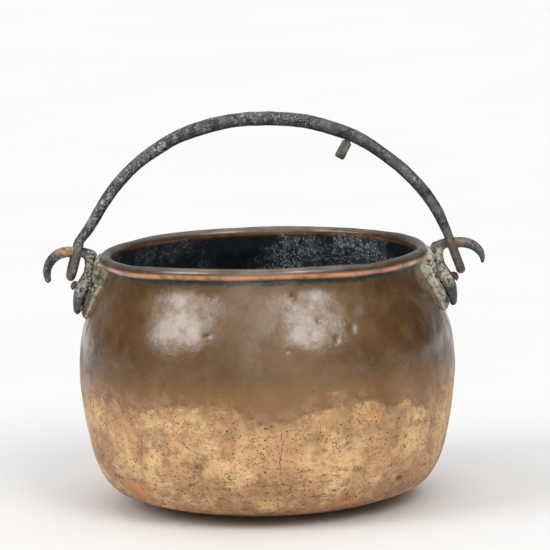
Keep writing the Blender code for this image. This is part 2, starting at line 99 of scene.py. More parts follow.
# Dents: (azimuth, height, half width around, half height, depth).
DENTS = (
    (-16.9, 0.1870, 0.0060, 0.0018, 0.0010), (11.5, 0.2180, 0.0050, 0.0045, 0.0009),
    (8.9, 0.1734, 0.0040, 0.0035, 0.0010), (19.2, 0.1978, 0.0045, 0.0040, 0.0008),
    (24.0, 0.1805, 0.0035, 0.0050, 0.0007), (29.8, 0.1880, 0.0060, 0.0060, 0.0007),
    (13.5, 0.1850, 0.0110, 0.0140, 0.0005), (-24.0, 0.1960, 0.0150, 0.0120, 0.0006),
    (33.0, 0.2050, 0.0120, 0.0080, 0.0006), (-11.0, 0.0385, 0.0220, 0.0016, 0.0007),
    (-19.0, 0.0450, 0.0060, 0.0080, 0.0006), (-3.3, 0.0723, 0.0040, 0.0040, 0.0005),
    (48.7, 0.0385, 0.0060, 0.0045, 0.0006), (37.0, 0.0230, 0.0030, 0.0070, 0.0009),
    (-65.8, 0.0611, 0.0040, 0.0060, 0.0007), (20.0, 0.1325, 0.0120, 0.0022, 0.0005),
)
RANDOM_DENTS = 46
BAIL_RUBBED = 0.256               # below this height the ears keep the bail's surface even

# Stains on the copper; the first three dark patches, in the dents and the crease of the upper wall, are
# painted shade: (azimuth, height, half width around, half height).
ORANGE_PATCHES = (
    (34.0, 0.1085, 0.019, 0.010), (-47.0, 0.0330, 0.020, 0.013), (21.0, 0.1315, 0.010, 0.0020),
    (29.0, 0.0210, 0.030, 0.006), (-150.0, 0.0500, 0.020, 0.012),
    (120.0, 0.1000, 0.015, 0.009), (170.0, 0.0700, 0.018, 0.010),
)
STAINS_AND_DENT_SHADE = (
    (-16.9, 0.1872, 0.0060, 0.0016), (9.2, 0.1722, 0.0030, 0.0022), (11.0, 0.2200, 0.0030, 0.0020),
    (48.3, 0.0803, 0.0050, 0.0070), (-65.8, 0.0611, 0.0050, 0.0090), (48.7, 0.0385, 0.0080, 0.0050),
    (-3.3, 0.0723, 0.0040, 0.0036), (-14.0, 0.0430, 0.0140, 0.0030), (18.3, 0.0778, 0.0050, 0.0036),
    (13.0, 0.0595, 0.0110, 0.0016), (-21.0, 0.0640, 0.0080, 0.0070), (27.0, 0.0770, 0.0040, 0.0034),
    (62.0, 0.0860, 0.0030, 0.0060), (30.5, 0.0560, 0.0100, 0.0040), (-58.0, 0.0420, 0.0120, 0.0050),
    (100.0, 0.0700, 0.0100, 0.0070), (-120.0, 0.0600, 0.0100, 0.0080), (155.0, 0.0450, 0.0120, 0.0060),
)


# ---------------------------------------------------------------- fields and outlines
def eased(share):
    """Smooth step: a share between 0 and 1 that starts and ends level."""
    return share * share * (3 - 2 * share)


def random_field(points, size, seed):
    """Smooth random values between -1 and 1 at points, with features of about that size."""
    table = np.random.default_rng(seed).uniform(-1, 1, 8192)
    place = points / size
    cell = np.floor(place).astype(np.int64)
    share = place - cell
    share = eased(share)
    total = np.zeros(points.shape[:-1])
    for corner in np.ndindex(2, 2, 2):
        index = ((cell + corner) * (73856093, 19349663, 83492791)).sum(-1) % len(table)
        weight = np.where(corner, share, 1 - share).prod(-1)
        total += table[index] * weight
    return total


def layered_field(points, size, seed, layers=3):
    total = 0.0
    for layer in range(layers):
        total = total + random_field(points, size / 2 ** layer, seed + layer) / 2 ** layer
    return total / 1.6


def hammer_facets(points, size, seed):
    """Shallow bowls that meet in ridges, as hammer blows leave: 0 in a bowl to about 1 on a ridge."""
    base = np.floor(points / size).astype(np.int64)
    nearest = np.full(points.shape[:-1], 9.0)
    shift = np.random.default_rng(seed).uniform(0, 1, (4096, 3))
    for corner in np.ndindex(3, 3, 3):
        cell = base + corner - 1
        index = (cell * (73856093, 19349663, 83492791)).sum(-1) % len(shift)
        distance = np.linalg.norm(points / size - cell - shift[index], axis=-1)
        nearest = np.minimum(nearest, distance)
    return nearest ** 2


def smooth_through(points, steps):
    """Points of a smooth curve (Catmull-Rom) that passes through every given point."""
    ends = np.array([points[0], *points, points[-1]], float)
    curve = []
    for a, b, c, d in zip(ends, ends[1:], ends[2:], ends[3:]):
        for k in range(steps):
            t = k / steps
            curve.append(0.5 * (2 * b + (c - a) * t + (2 * a - 5 * b + 4 * c - d) * t ** 2
                                + (3 * b - a - 3 * c + d) * t ** 3))
    return np.array([*curve, ends[-1]])


def lengths_along(line):
    return np.concatenate([[0.0], np.cumsum(np.linalg.norm(np.diff(line, axis=0), axis=1))])


def azimuth_columns():
    """Azimuths of the copper's columns: closer together beside an upright seam."""
    columns = set(np.round(np.arange(-180, 180, COLUMN_STEP), 4))
    for top, foot, _, _ in SEAMS:
        columns |= set(np.round(np.arange(min(top, foot) - 1.0, max(top, foot) + 1.0, FINE_STEP), 4))
    return np.array(sorted(columns))


def lap_height(azimuth):
    """Height of the lap line at each azimuth, as a smooth closed curve through LAP_LINE."""
    knots = np.array(LAP_LINE)
    closed = np.concatenate([knots[-2:] - (360, 0), knots, knots[:2] + (360, 0)])
    curve = smooth_through(closed, 8)
    return np.interp(azimuth, curve[:, 0], curve[:, 1])


def blob(azimuth, height, place):
    """1 at a place on the copper, falling to 0 at its edge."""
    centre, middle, half_width, half_height = place[:4]
    around = (azimuth - centre + 180) % 360 - 180
    distance = np.hypot(np.radians(around) * 0.175 / half_width, (height - middle) / half_height)
    return np.clip(1 - distance ** 2, 0, 1) ** 2


def random_dents():
    chance = np.random.default_rng(11)
    made = []
    while len(made) < RANDOM_DENTS:
        azimuth = chance.uniform(-180, 180)
        height = chance.uniform(0.03, 0.215)
        size = chance.uniform(0.003, 0.010)
        depth = chance.uniform(0.00015, 0.0005)
        if abs(azimuth) > 35:
            made.append((azimuth, height, size, size * chance.uniform(0.6, 1.3), depth))
    return made


def beside_ear(azimuth, height):
    """1 on the patch of shoulder under an ear, 0 away from it: there the copper keeps its CAD place."""
    off = np.degrees(np.arccos(np.clip(np.abs(np.sin(np.radians(azimuth))), 0, 1)))
    near = np.clip((14 - off) / 5, 0, 1)
    return near * np.clip((height - 0.165) / 0.012, 0, 1)


def rim_lift(azimuth, height):
    """How far the rim is bent up at the front, fading out down the neck."""
    level = math.cos(math.radians(RIM_LIFT_SPREAD))
    front = np.clip((np.cos(np.radians(azimuth - RIM_LIFT_AZIMUTH)) - level) / (1 - level), 0, 1)
    neck = np.clip((height - RIM_LIFT_FOOT) / RIM_LIFT_FADE, 0, 1)
    return RIM_LIFT * eased(front) * eased(neck)


def copper_relief(points, azimuth, height):
    """How far the hammered copper stands outside its true outline, in metres."""
    relief = 0.00045 * random_field(points, 0.065, 1)
    relief += 0.00040 * random_field(points, 0.026, 2)
    relief += 0.00017 * (hammer_facets(points, 0.0125, 3) - 0.4)
    relief += 0.00004 * random_field(points, 0.006, 4)
    for dent in (*DENTS, *random_dents()):
        relief -= dent[4] * blob(azimuth, height, dent)
    return relief * (1 - 0.9 * beside_ear(azimuth, height)) * np.clip(height / 0.006, 0, 1)


# ---------------------------------------------------------------- copper sheets
def polar(radius, height, azimuth):
    """Points at a radius, height and azimuth, each of which may be an array."""
    turn = np.radians(azimuth)
    return np.stack(np.broadcast_arrays(radius * np.sin(turn), -radius * np.cos(turn), height), -1)


def new_object(name, mesh):
    thing = bpy.data.objects.new(name, mesh)
    bpy.context.scene.collection.objects.link(thing)
    return thing


def shade(mesh, angle):
    mesh.shade_smooth()
    mesh.set_sharp_from_angle(angle=math.radians(angle))


def store(mesh, name, values):
    attribute = mesh.attributes.new(name, "FLOAT", "POINT")
    attribute.data.foreach_set("value", np.ascontiguousarray(values, np.float32).ravel())


def ring_mesh(name, rings, closed):
    """Mesh through rings of points, each joined to the next: the last joins the first if closed,
    and otherwise both end rings are capped."""
    rings = np.array(rings)
    count, columns = rings.shape[:2]
    start = np.arange(columns)
    ahead = (start + 1) % columns
    faces = []
    for row in range(count if closed else count - 1):
        this = row * columns
        above = (row + 1) % count * columns
        faces += np.stack([this + start, this + ahead, above + ahead, above + start], 1).tolist()
    if not closed:
        faces.append(start[::-1].tolist())
        faces.append(((count - 1) * columns + start).tolist())
    mesh = bpy.data.meshes.new(name)
    mesh.from_pydata(rings.reshape(-1, 3).tolist(), [], faces)
    return mesh


def left_normals(line):
    """Left-hand unit normals of lines of (radius, height) points, [..., point, 2]."""
    along = np.gradient(line, axis=-2)
    along /= np.linalg.norm(along, axis=-1, keepdims=True)
    return np.stack([-along[..., 1], along[..., 0]], -1)


def raised(line, normal, azimuth, depth=0.0):
    """Rings of points for lines [column, point, 2] with the copper's relief along their normals.
    The normals point inwards, and depth sinks the points further along them."""
    azimuth = np.broadcast_to(azimuth[:, None], line.shape[:2])
    place = polar(line[..., 0], line[..., 1], azimuth)
    relief = copper_relief(place, azimuth, line[..., 1]) - depth
    moved = line - normal * relief[..., None]
    return polar(moved[..., 0], moved[..., 1], azimuth).transpose(1, 0, 2)


def outer_face():
    """Dense, faired outline of the copper's outer face, upwards from the base, and its lengths."""
    line = smooth_through(BELLY, 24)[::-1]
    along = lengths_along(line)
    even = np.linspace(0, along[-1], 400)
    line = np.stack([np.interp(even, along, line[:, 0]), np.interp(even, along, line[:, 1])], -1)
    for _ in range(FAIRING):
        line[1:-1] += (line[:-2] - 2 * line[1:-1] + line[2:]) / 4
    return line, lengths_along(line)


def face_between(low, high, rows, line, along):
    """Points of the outer face between two arc lengths, for every column: [column, point, 2]."""
    place = low[:, None] + (high - low)[:, None] * np.linspace(0, 1, rows)
    return np.stack([np.interp(place, along, line[:, 0]), np.interp(place, along, line[:, 1])], -1)


def make_wall():
    """Belly, shoulder, neck and rolled bead; its lower edge runs along the lap line."""
    azimuth = azimuth_columns()
    line, along = outer_face()
    lap = np.interp(lap_height(azimuth), line[:, 1], along)
    top = np.full(len(azimuth), along[-1])
    face = face_between(lap, top, int((along[-1] - lap.min()) / ROW_SPACING), line, along)
    middle = face + left_normals(face) * SHEET / 2
    turn = np.radians(np.linspace(CURL_START, CURL_END, CURL_ROWS))
    curl = np.stack([np.cos(turn), np.sin(turn)], -1) * (BEAD_RADIUS - SHEET / 2) + BEAD_CENTRE
    middle = np.concatenate([middle, np.broadcast_to(curl, (len(azimuth), CURL_ROWS, 2))], 1)
    normal = left_normals(middle)
    outside = raised(middle - normal * SHEET / 2, normal, azimuth)
    inside = raised(middle + normal * SHEET / 2, normal, azimuth)
    mesh = ring_mesh("kettle_wall_hammered", [*outside, *inside[::-1]], True)
    black = np.clip((0.2395 - inside[..., 2]) / 0.005, 0, 1)
    black *= np.hypot(inside[..., 0], inside[..., 1]) < BEAD_CENTRE[0] + 0.04
    black[face.shape[1] + CURL_ROWS // 2:] = 0
    store(mesh, "inside", np.concatenate([outside[..., 0] * 0, black[::-1]]))
    return finish_copper(mesh)


def seam_grooves(azimuth, height):
    """Depth of the upright brazed seams in the pan."""
    depth = np.zeros(height.shape)
    for top, foot, high, low in SEAMS:
        share = (height - low) / (high - low)
        place = np.stack([height * 0 + top, height * 0, height], -1)
        wander = random_field(place, 0.014, 21) + 0.4 * random_field(place, 0.004, 22)
        line = foot + (top - foot) * share + 0.7 * wander
        distance = np.radians(np.abs(azimuth - line)) * 0.170 / SEAM_HALF_WIDTH
        ends = np.clip(share / 0.05, 0, 1) * np.clip((1 - share) / 0.05, 0, 1)
        depth = np.maximum(depth, SEAM_DEPTH * np.clip(1 - distance ** 2, 0, 1) * ends)
    return depth


def make_pan():
    """Lower sheet: flush with the wall at the lap line, with its upper edge set in behind it."""
    azimuth = azimuth_columns()
    line, along = outer_face()
    height = lap_height(azimuth)
    play = 0.15 + 0.85 * np.clip(random_field(polar(0.175, height, azimuth), 0.05, 7) + 0.4, 0, 1)
    lap = np.interp(height, line[:, 1], along) - GROOVE_GAP * play
    face = face_between(lap * 0, lap, int(lap.max() / ROW_SPACING), line, along)
    normal = left_normals(face)
    normal[:, 0] = (0, 1)
    groove = seam_grooves(azimuth[:, None], face[..., 1])
    outside = raised(face, normal, azimuth, groove)
    inside = raised(face + normal * SHEET, normal, azimuth)
    rising = np.stack([np.zeros(LAP_ROWS), np.linspace(0.001, LAP, LAP_ROWS)], -1)
    edge = face[:, -1:] + rising
    edge[..., 0] = np.interp(edge[..., 1], line[:, 1], line[:, 0])
    flat = np.broadcast_to([1.0, 0.0], edge.shape)
    lap_front = raised(edge - flat * (SHEET + LAP_PLAY), -flat, azimuth)
    lap_back = raised(edge - flat * (2 * SHEET + LAP_PLAY), -flat, azimuth)
    base = [polar(radius, 0.0, azimuth) for radius in np.linspace(0.0005, BELLY[-1][0], 24)[:-1]]
    floor = [ring + (0, 0, SHEET) for ring in base]
    rings = [*base, *outside, *lap_front, *lap_back[::-1], *inside[::-1], *floor[::-1]]
    mesh = ring_mesh("kettle_pan_hammered", rings, False)
    out = len(base) + len(outside)
    dark = np.concatenate([np.zeros(out), np.ones(len(rings) - out)])
    store(mesh, "inside", np.repeat(dark, len(azimuth)))
    store(mesh, "groove", np.concatenate([np.zeros((len(base), len(azimuth))), groove.T / SEAM_DEPTH,
                                          np.zeros((len(rings) - out, len(azimuth)))]))
    return finish_copper(mesh)


def finish_copper(mesh):
    """Stores what the copper's material reads: stains, painted shade in the upper dents and crease, and
    heights; then it bends the rim up.
    """
    points = np.zeros(len(mesh.vertices) * 3)
    mesh.vertices.foreach_get("co", points)
    points = points.reshape(-1, 3)
    azimuth = np.degrees(np.arctan2(points[:, 0], -points[:, 1]))
    for name, patches in (("orange", ORANGE_PATCHES), ("dark", STAINS_AND_DENT_SHADE)):
        mask = np.zeros(len(points))
        for patch in patches:
            mask = np.maximum(mask, blob(azimuth, points[:, 2], patch))
        store(mesh, name, mask)
    store(mesh, "over_lap", points[:, 2] - lap_height(azimuth))
    store(mesh, "level", points[:, 2])
    points[:, 2] += rim_lift(azimuth, points[:, 2])
    mesh.vertices.foreach_set("co", points.ravel())
    shade(mesh, 50)
    return new_object(mesh.name, mesh)


# ---------------------------------------------------------------- forged iron
def refined(node, name, voxel, smoothing, bumps, pits=None, grow=0.0, rubbed=None):
    """A finer copy of a CAD node, with hammered undulations and pits in its surface.
    bumps are (size, height, seed); pits is (size, share, depth, seed); grow makes up for the
    smoothing. Below the height rubbed, where another piece wears it, the surface stays even."""
    mesh = frame["nodes"][node].data.copy()
    mesh.name = name
    mesh.materials.clear()
    thing = new_object(name, mesh)
    weld = thing.modifiers.new("weld", "WELD")
    weld.merge_threshold = 0.00001
    remesh = thing.modifiers.new("remesh", "REMESH")
    remesh.mode = "VOXEL"
    remesh.voxel_size = voxel
    soften = thing.modifiers.new("soften", "SMOOTH")
    soften.factor = 0.5
    soften.iterations = smoothing
    bpy.context.view_layer.update()
    evaluated = thing.evaluated_get(bpy.context.evaluated_depsgraph_get())
    fine = bpy.data.meshes.new_from_object(evaluated)
    thing.modifiers.clear()
    thing.data = fine
    bpy.data.meshes.remove(mesh)
    fine.name = name
    points = np.zeros(len(fine.vertices) * 3)
    fine.vertices.foreach_get("co", points)
    points = points.reshape(-1, 3)
    normals = np.zeros(len(points) * 3)
    fine.vertex_normals.foreach_get("vector", normals)
    height = np.full(len(points), grow)
    for size, rise, seed in bumps:
        height += rise * random_field(points, size, seed)
    if pits:
        size, share, depth, seed = pits
        sunk = np.clip((layered_field(points, size, seed) - 1 + share) / 0.35, 0, 1)
        height -= depth * sunk
        store(fine, "pits", sunk)
    if rubbed:
        height *= np.clip((points[:, 2] - rubbed) / 0.020, 0, 1)
    moved = points + normals.reshape(-1, 3) * height[:, None]
    fine.vertices.foreach_set("co", moved.ravel())
    fine.update()
    shade(fine, 60)
    return thing


def make_crusted_pad(side):
    """Ear pad under its crust: it follows the copper up to the bead, with a ragged, lumpy edge."""
    rows = 64
    columns = 49
    heights = np.linspace(PAD_FOOT, PAD_TOP, rows)
    across = np.linspace(-1, 1, columns)
    outline = np.array(BELLY[::-1])
    copper = np.interp(heights, outline[:, 1], outline[:, 0])
    over_bead = np.clip(BEAD_RADIUS ** 2 - (heights - BEAD_CENTRE[1]) ** 2, 0, None)
    bead = np.where(over_bead > 0, BEAD_CENTRE[0] + np.sqrt(over_bead), 0)
    back = np.maximum(copper, bead)[:, None] + PAD_PLAY
    knots = np.array(PAD_FACE)
    front = np.interp(heights, knots[:, 0], knots[:, 1])[:, None]
    upright = np.linspace(-1, 1, rows)[:, None]
    turn = 1 if side == "right" else -1
    plane = np.stack(np.broadcast_arrays(front * turn, across * PAD_HALF_WIDTH, heights[:, None]), -1)
    ragged = 1 + 0.16 * random_field(plane, 0.009, 81) + 0.08 * random_field(plane, 0.003, 82)
    inset = np.clip(1 - np.abs(across) ** 5 - np.abs(upright) ** 9, 0.0, 1) ** 0.4
    lumps = 0.0007 * random_field(plane, 0.006, 83) + 0.00045 * random_field(plane, 0.0025, 84)
    thick = (front - back + lumps) * inset + PAD_PLAY
    narrowing = 0.22 * np.abs(upright) ** 4 + 0.45 * np.clip((heights[:, None] - 0.2340) / 0.0088, 0, 1)
    width = PAD_HALF_WIDTH * (1 - narrowing) * ragged
    grids = []
    for radius in (back + 0 * thick, back + np.maximum(thick, 0.0002)):
        angle = 90 * turn + np.degrees(across * width / radius)
        grids.append(polar(radius, heights[:, None], angle))
    rings = [np.concatenate([outer, inner[::-1]]) for outer, inner in zip(grids[1], grids[0])]
    mesh = ring_mesh(f"ear_pad_{side}_crusted", rings, False)
    close = np.concatenate([1 - inset, 1 - inset[:, ::-1]], 1)
    store(mesh, "edge", close)
    body = bmesh.new()
    body.from_mesh(mesh)
    bmesh.ops.recalc_face_normals(body, faces=body.faces)
    body.to_mesh(mesh)
    body.free()
    shade(mesh, 70)
    return new_object(mesh.name, mesh)


def make_bent_wire():
    """The rim wire, bent up with the rim."""
    mesh = frame["nodes"]["rim_wire"].data.copy()
    mesh.name = "rim_wire_bent"
    mesh.materials.clear()
    for vertex in mesh.vertices:
        azimuth = math.degrees(math.atan2(vertex.co.x, -vertex.co.y))
        vertex.co.z += rim_lift(azimuth, vertex.co.z)
    return new_object(mesh.name, mesh)


def stand_for(thing, node, material):
    """Puts a finished piece in the place of a CAD node, on the node's body."""
    body = next(b for b, nodes in frame["record"]["behaviour"]["bodies"].items() if node in nodes)
    thing.data.materials.clear()
    thing.data.materials.append(material)
    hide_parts(node)
    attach(thing, body)
    return thing


# ---------------------------------------------------------------- materials
class Shader:
    """A material with a Principled BSDF and short ways to add procedural nodes to it."""

    def __init__(self, name):
        self.material = bpy.data.materials.new(name)
        self.material.use_nodes = True
        self.tree = self.material.node_tree
        self.main = self.tree.nodes["Principled BSDF"]
        self.place = self.node("ShaderNodeTexCoord").outputs["Object"]

    def node(self, kind, inputs=(), **settings):
        made = self.tree.nodes.new(kind)
        for key, value in settings.items():
            setattr(made, key, value)
        for key, value in dict(inputs).items():
            self.put(made.inputs[key], value)
        return made

    def put(self, socket, value):
        if isinstance(value, bpy.types.NodeSocket):
            self.tree.links.new(value, socket)
        elif isinstance(value, tuple) and socket.type == "RGBA":
            socket.default_value = (*value, 1.0)
        else:
            socket.default_value = value

    def attribute(self, name):
        return self.node("ShaderNodeAttribute", attribute_name=name).outputs["Fac"]

    def noise(self, size, detail=4.0, roughness=0.6, distortion=0.0, place=None):
        """Noise about 0.5 with features of about that size in metres."""
        inputs = {"Vector": place or self.place, "Scale": 1 / size, "Detail": detail,
                  "Roughness": roughness, "Distortion": distortion}
        return self.node("ShaderNodeTexNoise", inputs).outputs["Fac"]

    def range(self, value, low, high, start=0.0, end=1.0):
        """The value carried from low..high to start..end, clamped, with soft ends."""
        inputs = {"Value": value, "From Min": low, "From Max": high, "To Min": start, "To Max": end}
        made = self.node("ShaderNodeMapRange", inputs, interpolation_type="SMOOTHSTEP")
        return made.outputs["Result"]

    def math(self, operation, a, b=0.0):
        return self.node("ShaderNodeMath", {0: a, 1: b}, operation=operation).outputs[0]

    def mix(self, share, a, b, blend="MIX"):
        made = self.node("ShaderNodeMix", data_type="RGBA", blend_type=blend)
        self.put(made.inputs[0], share)
        self.put(made.inputs[6], a)
        self.put(made.inputs[7], b)
        return made.outputs[2]

    def specks(self, size, radius, share, seed=0.0):
        """Round specks in a share of the cells of that size, 1 inside and 0 outside."""
        place = self.node("ShaderNodeVectorMath", {0: self.place, 1: (seed, seed, seed)},
                          operation="ADD").outputs[0]
        wobble = self.node("ShaderNodeTexNoise", {"Vector": place, "Scale": 1.5 / size})
        bent = self.node("ShaderNodeVectorMath", {0: wobble.outputs["Color"], 1: (size * 0.5,) * 3,
                                                  2: place}, operation="MULTIPLY_ADD").outputs[0]
        cells = self.node("ShaderNodeTexVoronoi", {"Vector": bent, "Scale": 1 / size})
        near = self.range(cells.outputs["Distance"], radius * 0.45, radius, 1.0, 0.0)
        chosen = self.node("ShaderNodeSeparateColor", {0: cells.outputs["Color"]}).outputs[0]
        return self.math("MULTIPLY", near, self.range(chosen, 1 - share - 0.05, 1 - share))

    def either(self, *masks):
        total = masks[0]
        for mask in masks[1:]:
            total = self.math("MAXIMUM", total, mask)
        return total

    def bump(self, height, depth, strength=1.0, under=None):
        inputs = {"Height": height, "Distance": depth, "Strength": strength}
        made = self.node("ShaderNodeBump", inputs)
        if under is not None:
            self.put(made.inputs["Normal"], under)
        return made.outputs["Normal"]

    def finish(self, **inputs):
        for key, value in inputs.items():
            self.put(self.main.inputs[key.replace("_", " ").title().replace("Ior", "IOR")], value)
        return self.material


def across_of(shader):
    return shader.node("ShaderNodeSeparateXYZ", {0: shader.place}).outputs["X"]


def height_of(shader):
    return shader.node("ShaderNodeSeparateXYZ", {0: shader.place}).outputs["Z"]


def black_inside(s):
    """Colour of the soot-black inside, with pale blue-green crystals in patches."""
    across = across_of(s)
    patch = s.range(s.noise(0.050, 3.0), 0.40, 0.60)
    patch = s.math("MULTIPLY", patch, s.range(across, -0.070, 0.030, 0.25, 1.0))
    crystals = s.math("MULTIPLY", s.specks(0.0028, 0.40, 0.70), patch)
    cloudy = s.range(s.noise(0.012, 6.0, 0.7), 0.35, 0.75, 0.0, 0.6)
    dark = s.mix(cloudy, (0.010, 0.012, 0.016), (0.040, 0.048, 0.056))
    dusty = s.math("MULTIPLY", patch, s.range(s.noise(0.005, 6.0, 0.8), 0.38, 0.62))
    dark = s.mix(s.math("MULTIPLY", dusty, 0.7), dark, (0.34, 0.39, 0.40))
    return s.mix(crystals, dark, (0.75, 0.85, 0.85))


def lap_mark(s):
    """Height above the lap line with a ragged edge, in metres."""
    ragged = s.math("MULTIPLY", s.math("SUBTRACT", s.noise(0.020, 7.0, 0.68), 0.5), 0.026)
    return s.math("ADD", s.attribute("over_lap"), ragged)


def patina_colour(s):
    """Brown patina of the upper body: darker towards the sides as painted shade, and lighter and warmer low
    down as a painted reflection of the floor.
    """
    cloud = s.range(s.noise(0.075, 4.0, 0.55), 0.34, 0.68)
    across = s.math("ABSOLUTE", across_of(s))
    brown = s.mix(cloud, (0.120, 0.058, 0.014), (0.190, 0.108, 0.042))
    dark = s.mix(cloud, (0.062, 0.024, 0.002), (0.120, 0.054, 0.011))
    # Darker towards both sides: painted shade, standing in for the dark room that the sides reflect. The
    # lighter middle at front and back is painted sheen.
    brown = s.mix(s.range(across, 0.045, 0.120), brown, dark)
    streak = s.range(s.noise(0.020, 6.0, 0.65), 0.42, 0.70)
    brown = s.mix(s.math("MULTIPLY", streak, 0.35), brown, (0.230, 0.120, 0.048))
    # Lighter, warmer copper low on the patina, where it faces down: painted reflection of the bright floor.
    light = s.range(height_of(s), 0.152, 0.128)
    brown = s.mix(s.math("MULTIPLY", light, 0.55), brown, (0.280, 0.130, 0.033))
    return s.mix(s.specks(0.0085, 0.10, 0.35), brown, (0.035, 0.020, 0.012))


def bare_colour(s):
    """Scrubbed tan copper of the lower body, with pinker and yellower areas and brown streaks."""
    gold = s.range(s.noise(0.040, 4.0, 0.6), 0.36, 0.64)
    tan = s.mix(gold, (0.620, 0.370, 0.185), (0.840, 0.565, 0.300))
    pink = s.range(s.noise(0.020, 7.0, 0.7, place=shifted(s, 3.1)), 0.47, 0.62)
    tan = s.mix(s.math("MULTIPLY", pink, 0.6), tan, (0.580, 0.320, 0.185))
    grime = s.range(s.noise(0.014, 8.0, 0.82, place=shifted(s, 7.7)), 0.51, 0.60)
    tan = s.mix(s.math("MULTIPLY", grime, 0.50), tan, (0.230, 0.125, 0.055))
    cloud = s.range(s.noise(0.045, 8.0, 0.72, place=shifted(s, 5.5)), 0.47, 0.60)
    tan = s.mix(s.math("MULTIPLY", cloud, 0.6), tan, (0.340, 0.195, 0.098))
    red = s.range(s.noise(0.016, 8.0, 0.75, place=shifted(s, 2.6)), 0.54, 0.64)
    tan = s.mix(s.math("MULTIPLY", red, 0.5), tan, (0.540, 0.240, 0.120))
    level = height_of(s)
    low = s.math("MULTIPLY", s.range(level, 0.070, 0.010), s.range(s.noise(0.018, 6.0, 0.7), 0.35, 0.6))
    tan = s.mix(s.math("MULTIPLY", low, 0.8), tan, (0.330, 0.180, 0.095))
    lying = s.node("ShaderNodeVectorMath", {0: s.place, 1: (1.0, 1.0, 3.5)}, operation="MULTIPLY").outputs[0]
    streaks = s.range(s.noise(0.012, 7.0, 0.72, place=lying), 0.56, 0.63)
    streaks = s.math("MULTIPLY", streaks, s.range(level, 0.080, 0.045))
    tan = s.mix(s.math("MULTIPLY", streaks, 0.8), tan, (0.170, 0.090, 0.045))
    bend = s.math("SUBTRACT", s.noise(0.024, 6.0, 0.62, place=lying), 0.5)
    veins = s.range(s.math("ABSOLUTE", bend), 0.0095, 0.0035)
    veins = s.math("MULTIPLY", veins, s.range(s.noise(0.020, 4.0, 0.6, place=shifted(s, 9.4)), 0.46, 0.58))
    tan = s.mix(s.math("MULTIPLY", veins, 0.8), tan, (0.150, 0.078, 0.036))
    return s.mix(s.range(s.noise(0.0042, 6.0, 0.78), 0.585, 0.64), tan, (0.210, 0.105, 0.045))


def shifted(s, amount):
    """The place moved by some metres, so that another noise there has its own pattern."""
    return s.node("ShaderNodeVectorMath", {0: s.place, 1: (amount, amount, amount)},
                  operation="ADD").outputs[0]


def pan_pits(s):
    """Dark corrosion pits of three sizes, thicker in some areas."""
    crowd = s.range(s.noise(0.030, 4.0, 0.6, place=shifted(s, 1.3)), 0.44, 0.58)
    small = s.math("MULTIPLY", s.specks(0.0028, 0.34, 0.60, 0.2), crowd)
    middle = s.math("MULTIPLY", s.specks(0.0056, 0.22, 0.45, 0.5), s.range(crowd, 0.0, 1.0, 0.30, 1.0))
    return s.either(small, middle, s.specks(0.0140, 0.13, 0.45, 0.9))


